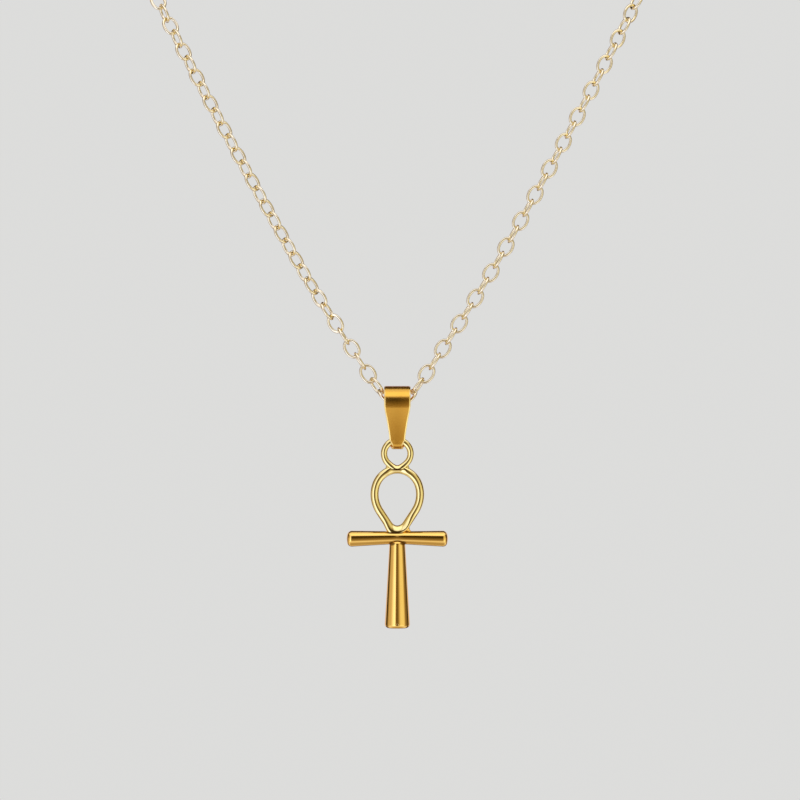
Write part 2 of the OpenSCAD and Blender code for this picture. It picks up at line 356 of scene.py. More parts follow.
def loop_path(s):
    """The loop's mean line: crown arc, side arcs, straight legs and base arc, tangent and softened."""
    p = s.loop
    shift = p.side - p.half
    over = p.crown - p.half
    crown = p.half - over**2 / (2 * (shift - over))
    lift = p.crown - crown
    top = math.degrees(math.atan2(lift, shift))
    drop = p.below - p.base
    leg = math.degrees(math.atan2(drop, shift) - math.acos((p.side - p.base) / math.hypot(drop, shift)))
    right = np.vstack(
        [
            arc((0, lift), crown, 90, top, 60),
            arc((-shift, 0), p.side, top, -leg, 60)[1:],
            arc((0, -drop), p.base, -leg, -90, 40),
        ]
    )
    left = right[-2:0:-1] * [-1, 1]
    return soften(even(np.vstack([right, left]), LOOP_STEPS), LOOP_SOFTENING)


def loop_points(s):
    """A round wire along the loop's mean line, flatter where the ring lies over its crown.

    At the crown and round the bottom the wire gets fuller. Its face looks down at the crown and up at the
    bottom. At the lower left its outer side is drawn down to fill the corner over the crossbar.
    All these changes fall off across as flat-topped bell curves.
    """
    crown_reach, left_reach, right_reach = 1.5 * MM, 1.7 * MM, 2.5 * MM
    corner_side, corner_reach, corner_drop = -1.7 * MM, 0.85 * MM, 0.42 * MM
    crown_fuller, foot_fuller, crown_slant, foot_slant, crown_flatter = 0.16, 0.3, 0.2, 0.5, 0.2
    path = loop_path(s)
    side, level = path.T
    radius = np.full(len(path), s.loop.wire / 2)
    near_top = plateau(side, crown_reach) * (level > 0)
    near_foot = plateau(side, np.where(side > 0, right_reach, left_reach)) * (level < 0)
    full = ROUND_WIRE - crown_fuller * near_top - foot_fuller * near_foot
    lean = crown_slant * near_top + foot_slant * near_foot
    depth = radius * (1 - crown_flatter * near_top)
    points = wire_skin(path, radius, depth, 0 * radius, full, lean)
    past_line = np.hypot(points[..., 0], points[..., 2]) - np.hypot(side, level)[:, None]
    outside = np.clip(past_line / radius[:, None], 0, 1)
    corner = plateau(points[..., 0] - corner_side, corner_reach) * (level < 0)[:, None]
    points[..., 2] -= corner_drop * corner * outside
    return at_front(points, loop_height(s))


def turned(radius, middle, across, sides):
    """A shape turned round a line, from its middle and its radius at each point of that line.

    At the angle t the skin is off the middle by the radius: times cos t along the first direction
    across, and times sin t along the second.
    """
    t = (np.arange(sides) / sides * TAU)[:, None]
    around = across[0] * np.cos(t) + across[1] * np.sin(t)
    return middle[:, None, :] + radius[:, None, None] * around


def bar_points(s):
    """A bar turned round the X axis.

    Its radius grows straight from the middle to near each end, follows a quarter circle round the
    corner and then a shallow dome to the end's centre. Its axis droops on both sides of the middle.
    A small swelling stands out over the stem and falls off as a bell curve along and across.
    """
    p = s.bar
    soft_droop, knot_wide, knot_high, knot_up = 0.8 * MM, 0.9 * MM, 0.18 * MM, 0.12 * MM
    half, end, corner = p.length / 2, p.end / 2, p.corner
    flat = half - p.crowned - corner
    straight = np.linspace(0, flat, 90)
    quarter = np.radians(np.linspace(0, 90, 16))[1:]
    dome = np.linspace(1, 0.04, 14)[1:]
    place = np.concatenate([straight, flat + corner * np.sin(quarter), half - p.crowned * dome**2])
    radius = np.concatenate(
        [
            p.middle / 2 + (end - p.middle / 2) * straight / flat,
            end - corner + corner * np.cos(quarter),
            (end - corner) * dome,
        ]
    )
    place = np.concatenate([-place[:0:-1], place])
    radius = np.concatenate([radius[:0:-1], radius])
    droop = -math.tan(p.droop) * (np.hypot(place, soft_droop) - soft_droop)
    middle = np.stack([place, 0 * place, droop], -1)
    points = turned(radius, middle, np.array([[0.0, 1.0, 0.0], [0.0, 0.0, 1.0]]), BAR_SIDES)
    along, up = points[..., 0] / knot_wide, (points[..., 2] - knot_up) / knot_high
    points[..., 1] -= p.knot * np.exp(-(along**2) - up**2) * (points[..., 1] < 0)
    return at_front(points, bar_height(s))


def stem_points(s):
    """A bar turned round the Z axis.

    From the top its radius follows a low dome, then grows straight to the foot, rounds a corner
    and closes in a nearly flat end. At the front near the foot a small pit is pressed in: its depth
    goes with one less the square of the distance from its middle, raised to 1.5.
    """
    p = s.stem
    pit_depth, pit_stretch = 0.16 * MM, 1.3
    top, end, rounding = p.top / 2, p.end / 2, p.rounding
    dome = np.radians(np.linspace(88, 0, 40))
    crown = p.head - p.head_height
    straight = np.linspace(crown, -p.below + rounding, 170)[1:]
    quarter = np.radians(np.linspace(0, 82, 20))[1:]
    flat = np.linspace(1, 0.03, 12)[1:]
    corner_end = end - rounding + rounding * math.cos(quarter[-1])
    low = -p.below + rounding - rounding * math.sin(quarter[-1])
    place = np.concatenate(
        [
            crown + p.head_height * np.sin(dome),
            straight,
            -p.below + rounding - rounding * np.sin(quarter),
            -p.below + (low + p.below) * flat**2,
        ]
    )
    radius = np.concatenate(
        [
            top * np.cos(dome),
            top + (end - top) * (crown - straight) / (crown + p.below - rounding),
            end - rounding + rounding * np.cos(quarter),
            corner_end * flat,
        ]
    )
    middle = np.stack([0 * place, 0 * place, place], -1)
    points = turned(radius, middle, np.array([[0.0, -1.0, 0.0], [1.0, 0.0, 0.0]]), STEM_SIDES)
    from_pit = np.hypot(points[..., 0] / pit_stretch, points[..., 2] + p.below - p.pit_height)
    press = np.clip(1 - (from_pit / (p.pit / 2)) ** 2, 0, 1) ** 1.5
    points[..., 1] += pit_depth * press * (points[..., 1] < 0)
    return at_front(points, bar_height(s))


def pebble(centre, size, power):
    """A rounded block: a ball with the half sizes given, squarer as the power falls below one.

    At the angles a and t, a point's X goes with sin a, its Y with cos a times cos t and its Z with
    cos a times sin t, each wave raised to the power.
    """
    steps, sides, near_pole = 36, 48, 0.497
    a = np.linspace(-near_pole, near_pole, steps)[:, None] * math.pi
    t = (np.arange(sides) / sides * TAU)[None, :]
    out = squared(np.cos(a), power)
    along = squared(np.sin(a), power) + 0 * t
    shape = [along, out * squared(np.cos(t), power), out * squared(np.sin(t), power)]
    return np.array(centre) + np.stack(shape, -1) * np.array(size)


# Fillets of solder in the crotch of ring and loop, in mm: place across, and half width, depth and height
WEBS = (
    (-1.62, 0.70, 0.40, 0.52),
    (1.66, 0.72, 0.44, 0.54),
)

# Their level above the ring's lowest mean point, and how square they are: 1 is a ball, less is squarer
WEB_LEVEL, WEB_POWER = -0.2 * MM, 0.9


def web_points(s):
    """The fillets on the left and right of the crotch: rounded blocks."""
    crotch = ring_height(s) - s.ring.radius + WEB_LEVEL
    blocks = [pebble((side * MM, 0, 0), np.array(size) * MM, WEB_POWER) for side, *size in WEBS]
    return [at_front(block, crotch) for block in blocks]


# Foot of the loop, in mm: height above the top of the crossbar, half widths on the left and right,
# and how far its front and back stand out
FOOT = (
    (-0.45, 1.98, 3.25, 0.20),
    (-0.05, 2.05, 2.88, 0.36),
    (0.20, 2.12, 2.56, 0.48),
    (0.45, 2.20, 2.42, 0.60),
    (0.78, 2.33, 2.40, 0.52),
    (0.92, 2.05, 2.10, 0.36),
    (1.02, 1.30, 1.30, 0.18),
)


def foot_points(s):
    """Cast foot under the loop: flattened ovals stacked from the crossbar up, wider at the bottom.

    At the angle t an oval's point lies the half width times cos t across and the half depth times
    sin t back, each raised to a power below 1 so that the sides are full and the front is flat.
    """
    levels, sides, side_power, face_power = 40, 64, 0.75, 0.45
    height, *halves = np.array(FOOT).T * MM
    at = np.linspace(height[0], height[-1], levels)
    left, right, deep = (np.interp(at, height, half)[:, None] for half in halves)
    t = (np.arange(sides) + 0.5) / sides * TAU
    wide = squared(np.cos(t), side_power)
    points = np.empty((levels, sides, 3))
    points[..., 0] = np.where(wide > 0, right, left) * wide
    points[..., 1] = deep * squared(np.sin(t), face_power)
    points[..., 2] = at[:, None]
    return at_front(points, bar_height(s) + s.bar.middle / 2)


# Front view of the bail, in mm: level from its top, and half width
BAIL_FRONT = (
    (-12.5, 1.45),
    (-10.8, 1.53),
    (-9.5, 1.65),
    (-8.7, 1.79),
    (-7.1, 2.03),
    (-5.6, 2.33),
    (-4.3, 2.6),
    (0, 2.6),
)

# How many neighbouring steps that half width is averaged over
BAIL_SOFTENING = 13

# Rounded ends of the strip, in mm: distance from the end, and the most that the half width may be
TONGUE_WIDTH = ((0, 0.62), (0.06, 0.78), (0.2, 0.92), (0.7, 1.12), (1.25, 1.36), (1.6, 1.6), (3, 3))
UNDER_WIDTH = ((0, 0.95), (0.08, 1.08), (0.8, 1.22), (2.4, 1.6), (4, 3))

# The same ends: distance in mm, and the share of the strip's thickness that is left
TONGUE_THICKNESS = ((0, 0.5), (0.05, 0.85), (0.16, 1))
UNDER_THICKNESS = ((0, 0.35), (0.05, 0.62), (0.14, 0.88), (0.3, 1))


def bail_path(s):
    """The bail's strip in side view: from under the tongue along the fold, up the back, over and down.

    The top is a circle, the fold a smaller one, and straight lines touch both; the front one is hollow,
    as a parabola as deep as the sag. Returned are the places of the strip's outer face across Y and Z,
    and their directions outward.
    """
    p = s.bail
    big = (BAIL_HIGH[1] - BAIL_LOW[1]) / 2
    axis = BAIL_HIGH[2] - big
    low = BAIL_LOW[2] + p.fold
    lean = math.asin((big - p.fold) / (axis - low))
    under = np.linspace(p.under, math.pi - lean, 60)
    over = np.linspace(math.pi - lean, 2 * math.pi + lean, 150)
    tongue = np.linspace(lean, p.tongue, 30)

    def on(centre, radius, turn):
        return np.stack([-radius * np.cos(turn), centre - radius * np.sin(turn)], -1)

    parts = [on(low, p.fold, under), on(axis, big, over), on(low, p.fold, tongue)]
    back = np.linspace(parts[0][-1], parts[1][0], 40)[1:-1]
    front = np.linspace(parts[1][-1], parts[2][0], 60)[1:-1]
    share = np.linspace(0, 1, 60)[1:-1]
    front[:, 0] += 4 * p.sag * share * (1 - share)
    path = np.vstack([parts[0], back, parts[1], front, parts[2]])
    up, down = np.full(len(back), math.pi - lean), np.full(len(front), lean)
    turns = np.concatenate([under, up, over, down, tongue])
    return path, np.stack([-np.cos(turns), -np.sin(turns)], -1)


def bail_points(s):
    """The folded strip: a flat profile with bevelled edges, carried along the side view.

    Its half width follows the front view, wide at the top and tapering to the fold. Each profile
    point has a side, a share of the bevel's width in from the edge, and a depth as a share of the
    strip. Returned too is each point's share on the outer face, and 1 on the inner one.
    """
    p = s.bail
    path, out = bail_path(s)
    run = np.concatenate([[0], np.cumsum(np.linalg.norm(np.diff(path, axis=0), axis=1))]) / MM
    to_start, to_end = run, run[-1] - run
    half = from_table((path[:, 1] - BAIL_HIGH[2]) / MM, BAIL_FRONT)
    padded = np.pad(half, BAIL_SOFTENING // 2, mode="edge")
    half = np.convolve(padded, np.ones(BAIL_SOFTENING) / BAIL_SOFTENING, "valid")
    half = np.minimum(half, from_table(to_end, TONGUE_WIDTH))
    half = np.minimum(half, from_table(to_start, UNDER_WIDTH)) * MM
    share = np.minimum(p.bevel, 0.4 * half)
    thin = np.minimum(from_table(to_end, TONGUE_THICKNESS), from_table(to_start, UNDER_THICKNESS))
    edge = p.bevel_depth / p.strip
    corner = [(1.15, 0.0), (1.0, 0.012), (0.85, 0.05), (0.2, edge * 0.86), (0.06, edge), (0.0, edge + 0.08)]
    inner = [(0.0, 0.86), (0.05, 0.95), (0.2, 1.0)]
    outer_face = [(-1, x, d) for x, d in corner[::-1]] + [(0, 0.0, 0.0)] + [(1, x, d) for x, d in corner]
    inner_face = [(1, x, d) for x, d in inner] + [(0, 0.0, 1.0)] + [(-1, x, d) for x, d in inner[::-1]]
    side, inset, depth = np.array(outer_face + inner_face).T
    inward = out[:, None] * (0.5 + (depth - 0.5) * thin[:, None])[..., None] * p.strip
    points = np.empty((len(path), len(side), 3))
    points[..., 0] = side * (half[:, None] - inset * share[:, None])
    points[..., 1:] = path[:, None] - inward
    points[..., 1] += BAIL_Y
    rim = np.where(np.arange(len(side)) < len(outer_face), inset + (side == 0), 1)
    return points, np.tile(rim, len(path))


def edge_map(piece, shares):
    """A UV map whose U is a share given for each grid point, and 1 at the middles of the ends."""
    mesh = piece.data
    corners = np.empty(len(mesh.loops), np.int32)
    mesh.loops.foreach_get("vertex_index", corners)
    u = np.append(shares, [1, 1])[corners]
    layer = mesh.uv_layers.new(name="Edge")
    layer.data.foreach_set("uv", np.stack([u, 0 * u], -1).astype(np.float32).reshape(-1))


def islands(node):
    """The loose solids of a CAD node: its points, and for each the number of its solid.

    Every point takes the lowest number among its neighbours until nothing changes.
    """
    mesh = node.data
    places = np.empty(len(mesh.vertices) * 3, np.float32)
    mesh.vertices.foreach_get("co", places)
    places = places.reshape(-1, 3).astype(float)
    edges = np.empty(len(mesh.edges) * 2, np.int32)
    mesh.edges.foreach_get("vertices", edges)
    rounded = np.round(places / SAME_PLACE).astype(np.int64)
    _, first, same = np.unique(rounded, axis=0, return_index=True, return_inverse=True)
    a, b = same.reshape(-1)[edges.reshape(-1, 2)].T
    number = np.arange(len(first))
    while True:
        lower = np.minimum(number[a], number[b])
        new = number.copy()
        np.minimum.at(new, number[a], lower)
        np.minimum.at(new, number[b], lower)
        new = new[new]
        if (new == number).all():
            break
        number = new
    _, label = np.unique(number, return_inverse=True)
    return places[first], label.reshape(-1)


def link_places(node):
    """Where each link of a CAD chain lies: its middle, its three directions, and its half sizes.

    The long, wide and thin directions are those along which its points spread most and least.
    """
    points, label = islands(node)
    count = np.bincount(label)
    middle = np.stack([np.bincount(label, points[:, k]) for k in range(3)], -1) / count[:, None]
    off = points - middle[label]
    spread = np.empty((len(count), 3, 3))
    for i in range(3):
        for j in range(3):
            spread[:, i, j] = np.bincount(label, off[:, i] * off[:, j]) / count
    _, axes = np.linalg.eigh(spread)
    axes = axes[:, :, ::-1]
    axes[:, :, 2] = np.cross(axes[:, :, 0], axes[:, :, 1])
    local = np.einsum("nk,nkj->nj", off, axes[label])
    low = np.full((len(count), 3), 1.0)
    high = np.full((len(count), 3), -1.0)
    np.minimum.at(low, label, local)
    np.maximum.at(high, label, local)
    middle += np.einsum("nkj,nj->nk", axes, (low + high) / 2)
    return middle, axes, (high - low) / 2


def links_mesh(s, name, node):
    """One oval link at each place: a round wire round a squared oval.

    At the angle u the wire's middle is at the link's half length times cos u and its half width
    times sin u, both raised to 2 over the roundness; at the angle t the wire's skin is off it. A link
    that would show only its edge is turned about its length by the roll, the others by less: the roll
    times the cube of one less the square of the thin direction's part along Y.
    """
    p = s.chain
    middle, axes, half = link_places(node)
    roll = (p.roll * (1 - axes[:, 1, 2] ** 2) ** 3 * np.sign(axes[:, 2, 0]))[:, None]
    wide, thin = axes[:, :, 1].copy(), axes[:, :, 2].copy()
    axes[:, :, 1] = wide * np.cos(roll) + thin * np.sin(roll)
    axes[:, :, 2] = thin * np.cos(roll) - wide * np.sin(roll)
    length_half, width_half, wire_half = half.mean(0)
    u = np.arange(p.around) / p.around * TAU
    along = (length_half - wire_half) * squared(np.cos(u), 2 / p.round)
    across = (width_half - wire_half) * squared(np.sin(u), 2 / p.round)
    path = even(np.stack([along, across], -1), p.around)
    line = tangents(path)
    flat = np.zeros((p.around, 1))
    centre = np.hstack([path, flat])[:, None]
    out = np.hstack([line[:, 1:], -line[:, :1], flat])[:, None]
    t = (np.arange(p.sides) / p.sides * TAU)[:, None]
    link = centre + p.wire / 2 * (out * np.cos(t) + np.array([0, 0, 1.0]) * np.sin(t))
    link = link.reshape(-1, 3)
    points = middle[:, None] + np.einsum("nkj,pj->npk", axes, link)
    starts = np.arange(len(middle)) * len(link)
    quads = grid_quads(p.around, p.sides, True) + starts[:, None, None]
    return skin(name, points.reshape(-1, 3), quads.reshape(-1, 4), np.empty((0, 3), int))


# Materials

# Each plate: its name, its colour's name in the settings, what its waves keep of that colour, and its
# polish, which is the size of the waves, roughness, strength and stretch of the rub marks, and relief
PLATES = (
    ("Gold plate", "gold", (0.97, 0.90, 0.72), (260, 0.02, 0.05, (1, 1, 1), 0.012 * MM)),
    ("Light gold plate", "light", (0.97, 0.92, 0.80), (260, 0.03, 0.05, (1, 1, 1), 0.012 * MM)),
    ("Amber gold plate", "amber", (0.96, 0.90, 0.75), (420, 0.10, 0.12, (1, 1, 0.2), 0.006 * MM)),
    ("Pale gold plate", "pale", (0.97, 0.93, 0.82), (500, 0.05, 0.08, (1, 1, 1), 0.006 * MM)),
)

# Painted shade in pits, seams and creases: its dark colour, how far it reaches through the piece, and the
# share of its half sizes up to which it is fully dark
PAINTED_SHADE_COLOUR = (0.10, 0.042, 0.006, 1)
PAINTED_SHADE_REACH = 10 * MM
PAINTED_SHADE_CORE = 0.6

# Painted highlight on bevelled rims: the share of the bevel up to which it is full, and how much of the
# rim's colour shows
RIM_HIGHLIGHT_FULL, RIM_HIGHLIGHT_SHARE = 0.85, 0.7


def new_group(name, inputs, outputs):
    """A shader node group with named sockets: inputs are (name, kind, default)."""
    group = bpy.data.node_groups.new(name, "ShaderNodeTree")
    for label, kind, value in inputs:
        socket = group.interface.new_socket(name=label, in_out="INPUT", socket_type=kind)
        if value is not None:
            socket.default_value = value
    for label, kind in outputs:
        group.interface.new_socket(name=label, in_out="OUTPUT", socket_type=kind)
    return group, group.nodes.new("NodeGroupInput"), group.nodes.new("NodeGroupOutput")


def add_node(tree, kind, inputs, **options):
    """A new node with its options set. inputs give each socket a fixed value, or what feeds it."""
    node = tree.nodes.new(kind)
    for option, value in options.items():
        setattr(node, option, value)
    for socket, value in inputs.items():
        if isinstance(value, bpy.types.NodeSocket):
            tree.links.new(value, node.inputs[socket])
        else:
            node.inputs[socket].default_value = value
    return node


def number(tree, kind, *sources):
    """The outcome of a sum on numbers."""
    return add_node(tree, "ShaderNodeMath", dict(enumerate(sources)), operation=kind).outputs[0]


def vector(tree, kind, *sources):
    """The outcome of a sum on vectors."""
    node = add_node(tree, "ShaderNodeVectorMath", dict(enumerate(sources)), operation=kind)
    return node.outputs["Vector"]


def mixed(tree, factor, first, second):
    """A colour between two, by a factor."""
    mix = add_node(tree, "ShaderNodeMix", {"Factor": factor, "A": first, "B": second}, data_type="RGBA")
    return mix.outputs["Result"]


def polish_group():
    """Hand polish: broad soft waves and fine rub marks, as a roughness, a height and a tone."""
    group, given, result = new_group(
        "Hand polish",
        [
            ("Vector", "NodeSocketVector", None),
            ("Wave Size", "NodeSocketFloat", 300.0),
            ("Roughness", "NodeSocketFloat", 0.1),
            ("Rubbed", "NodeSocketFloat", 0.05),
            ("Stretch", "NodeSocketVector", (1.0, 1.0, 1.0)),
        ],
        [("Roughness", "NodeSocketFloat"), ("Height", "NodeSocketFloat"), ("Tone", "NodeSocketFloat")],
    )
    wave_share, rub_share = 0.08, 0.06
    place, wave, roughness, rubbed, stretch = list(given.outputs)[:5]
    soft = {"Vector": place, "Scale": wave, "Detail": 2, "Roughness": 0.4}
    broad = add_node(group, "ShaderNodeTexNoise", soft).outputs["Fac"]
    stretched = vector(group, "MULTIPLY", place, stretch)
    sharp = {"Vector": stretched, "Scale": 2600, "Detail": 4, "Roughness": 0.6}
    fine = add_node(group, "ShaderNodeTexNoise", sharp).outputs["Fac"]
    rub = number(group, "MULTIPLY_ADD", fine, rubbed, roughness)
    group.links.new(number(group, "MULTIPLY_ADD", broad, wave_share, rub), result.inputs["Roughness"])
    group.links.new(number(group, "MULTIPLY_ADD", fine, rub_share, broad), result.inputs["Height"])
    group.links.new(broad, result.inputs["Tone"])
    return group


def painted_rim_highlight(tree, place, surface, rim):
    """The surface's colour with a painted highlight on the rim: turned towards the rim's colour where the
    edge map's U falls below 1.
    """
    parts = add_node(tree, "ShaderNodeSeparateXYZ", {0: place.outputs["UV"]})
    limits = {"Value": parts.outputs["X"], "From Min": 1.0, "From Max": RIM_HIGHLIGHT_FULL, "To Max": RIM_HIGHLIGHT_SHARE}
    rim_light = add_node(tree, "ShaderNodeMapRange", limits)
    return mixed(tree, rim_light.outputs["Result"], surface, (*rim, 1))


def with_painted_shade(tree, place, surface, middle, half, strength):
    """The surface's colour with painted shade: darkened in an ellipsoid by a strength that fades out at its
    skin.
    """
    off = vector(tree, "SUBTRACT", place.outputs["Object"], middle)
    share = vector(tree, "DIVIDE", off, half)
    far = add_node(tree, "ShaderNodeVectorMath", {0: share}, operation="LENGTH").outputs["Value"]
    limits = {"Value": far, "From Min": 1.0, "From Max": PAINTED_SHADE_CORE, "To Max": strength}
    mask = add_node(tree, "ShaderNodeMapRange", limits)
    return mixed(tree, mask.outputs["Result"], surface, PAINTED_SHADE_COLOUR)


def gold_material(name, base, kept, group, polish, painted_shades, rim):
    """Polished plate: the hand polish drives roughness, colour and a slight bump.

    Painted shade darkens pits, seams and creases. Where a piece has an edge map, a painted highlight turns
    its rim to another colour.
    """
    wave, roughness, rubbed, stretch, relief = polish
    material = bpy.data.materials.new(name)
    material.use_nodes = True
    tree = material.node_tree
    shader = tree.nodes["Principled BSDF"]
    shader.inputs["Metallic"].default_value = 1.0
    shader.inputs["IOR"].default_value = 1.5
    place = tree.nodes.new("ShaderNodeTexCoord")
    finish = {
        "Vector": place.outputs["Object"],
        "Wave Size": wave,
        "Roughness": roughness,
        "Rubbed": rubbed,
        "Stretch": stretch,
    }
    marks = add_node(tree, "ShaderNodeGroup", finish, node_tree=group)
    deep = [part * share for part, share in zip(base, kept)]
    surface = mixed(tree, marks.outputs["Tone"], (*base, 1), (*deep, 1))
    # Painted highlight: the rim turned towards a paler colour
    if rim:
        surface = painted_rim_highlight(tree, place, surface, rim)
    # Painted shade in pits, seams and creases
    for hollow in painted_shades:
        surface = with_painted_shade(tree, place, surface, *hollow)
    height = {"Height": marks.outputs["Height"], "Strength": 1.0, "Distance": relief}
    bump = add_node(tree, "ShaderNodeBump", height)
    tree.links.new(marks.outputs["Roughness"], shader.inputs["Roughness"])
    tree.links.new(surface, shader.inputs["Base Color"])
    tree.links.new(bump.outputs["Normal"], shader.inputs["Normal"])


def finish_materials(s):
    """The four golds, made once."""
    if "Gold plate" in bpy.data.materials:
        return

    def hollow(side, level, wide, high, strength):
        """A patch of painted shade at a place in the pendant's front view, in mm from the crossbar's
        middle.
        """
        middle = (side * MM, ANKH_Y, bar_height(s) + level * MM)
        return middle, (wide * MM, PAINTED_SHADE_REACH, high * MM), strength

    pit = (ANKH_LOW[2] + s.stem.pit_height - bar_height(s)) / MM
    under_ring = (ring_height(s) - s.ring.radius - s.ring.wire / 2 - bar_height(s)) / MM
    # Painted shade in the seam under the loop's foot, on both golds
    foot = hollow(-0.6, 0.96, 2.1, 0.24, 1)
    # Painted shade in the casting pit, in the creases round the stem's head, and under the ring where it
    # lies on the loop's crown
    painted_shades = {
        "Gold plate": (
            hollow(0, pit, 0.26, 0.26, 1),
            foot,
            hollow(-1.05, -1.12, 0.75, 0.5, 0.8),
            hollow(1.15, -1.05, 0.75, 0.5, 0.8),
            hollow(0.04, -0.62, 1.1, 0.15, 0.9),
        ),
        "Light gold plate": (foot, hollow(-0.1, under_ring + 0.12, 1.35, 0.19, 1)),
    }
    # Painted highlight on the bail's rims, in the light gold
    rim_highlights = {"Amber gold plate": s.finish.light}
    group = polish_group()
    for name, tint, kept, polish in PLATES:
        base = getattr(s.finish, tint)
        gold_material(name, base, kept, group, polish, painted_shades.get(name, ()), rim_highlights.get(name))


def dress(piece, material, slot, body, *nodes):
    """Gives a piece its material and its body, and hides the CAD nodes that it stands for. The slot is not
    used.
    """
    piece.data.materials.clear()
    piece.data.materials.append(bpy.data.materials[material])
    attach(piece, body)
    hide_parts(*nodes)


# Stage


def aim(thing, target):
    """Turns a light so that it looks at a point."""
    thing.rotation_euler = (Vector(target) - thing.location).to_track_quat("-Z", "Y").to_euler()


def soft_light(name, azimuth, elevation, distance, size, power, tint, target):
    """A rectangular soft light that faces a point, from an angle round it and above it."""
    data = bpy.data.lights.new(name, "AREA")
    data.shape = "RECTANGLE"
    data.size, data.size_y = size
    data.energy = power
    data.color = tint
    light = put(name, data)
    a, e = math.radians(azimuth), math.radians(elevation)
    towards = Vector((math.sin(a) * math.cos(e), -math.cos(a) * math.cos(e), math.sin(e)))
    light.location = Vector(target) + distance * towards
    aim(light, target)
    light.visible_camera = False


def soft_box_group():
    """Where a soft box is seen: 1 inside, falling off smoothly at its sides, its foot and its head."""
    defaults = (
        ("Turn", 0.0),
        ("Level", 0.0),
        ("Rise Start", -0.1),
        ("Rise End", 0.0),
        ("Fall Start", 0.5),
        ("Fall End", 0.6),
        ("Low", -0.6),
        ("High", 0.7),
    )
    inputs = [(name, "NodeSocketFloat", value) for name, value in defaults]
    group, given, result = new_group("Soft box", inputs, [("Mask", "NodeSocketFloat")])
    blur = 0.12

    def step(value, low, high):
        limits = {"Value": value, "From Min": low, "From Max": high}
        node = add_node(group, "ShaderNodeMapRange", limits, interpolation_type="SMOOTHSTEP")
        return node.outputs["Result"]

    turn, level, rise_start, rise_end, fall_start, fall_end, low, high = list(given.outputs)[:8]
    rise = step(turn, rise_start, rise_end)
    fall = step(turn, fall_end, fall_start)
    above = step(level, number(group, "SUBTRACT", low, blur), low)
    below = step(level, number(group, "ADD", high, blur), high)
    sides = number(group, "MULTIPLY", rise, fall)
    ends = number(group, "MULTIPLY", above, below)
    group.links.new(number(group, "MULTIPLY", sides, ends), result.inputs["Mask"])
    return group


# Studio air by the sine of the angle above the horizon: brightness as the metal reflects it
AIR = (
    (-1.0, 0.50),
    (-0.92, 0.55),
    (-0.84, 0.75),
    (-0.74, 1.05),
    (-0.64, 0.85),
    (-0.50, 0.50),
    (-0.38, 0.36),
    (-0.22, 0.26),
    (0.05, 0.23),
    (0.15, 0.10),
    (0.30, 0.045),
    (0.60, 0.05),
    (0.66, 0.60),
    (0.71, 1.10),
    (0.95, 1.05),
    (1.0, 1.0),
)

# How far behind the pendant the air turns dark, as the share of a direction that points away from the
# camera. Where the sine is below DARK_FLOOR it turns dark later, by DARK_LATER times the difference.
DARK_FROM, DARK_TO, DARK_SHARE = 0.2, 0.4, 0.07
DARK_FLOOR, DARK_LATER = -0.3, 0.9

# Dim air is warm and bright air cool: what a colour channel keeps of dim light, and what it gains
# with brightness
DIM_TONE, BRIGHT_TONE = (1.0, 0.70, 0.30), (0.0, 0.33, 1.35)

# Soft boxes: whether behind, degrees round from the camera where each rises and falls, colour of its
# light, low and high sine. The last is the dark camera.
SOFT_BOXES = (
    (False, (-104, -84, -20, -13), (0.46, 0.46, 0.46), (-0.54, 0.58)),
    (False, (-68, -30, -20, -13), (0.70, 0.70, 0.70), (-0.54, 0.58)),
    (False, (2, 36, 60, 90), (0.78, 0.78, 0.64), (-0.54, 0.58)),
    (True, (120, 134, 200, 201), (0.75, 0.75, 0.75), (-0.30, 0.45)),
    (False, (-9, -4, 4, 9), (-0.35, -0.35, -0.35), (0.04, -0.04)),
)

# What the camera itself sees behind the pendant and past the floor
BACKDROP = (0.72, 0.72, 0.71, 1)

# Camera: its distance, the width of its view there, and how far it aims right of and above the ring
CAMERA_AWAY, VIEW_WIDTH = 0.75, 0.1578
AIM_ASIDE, AIM_UP = 0.00053, 0.01056

# Floor: how far it lies below the pendant's foot, half its width, and points along a side
FLOOR_DROP, FLOOR_HALF, FLOOR_STEPS = 0.33, 2.2, 12


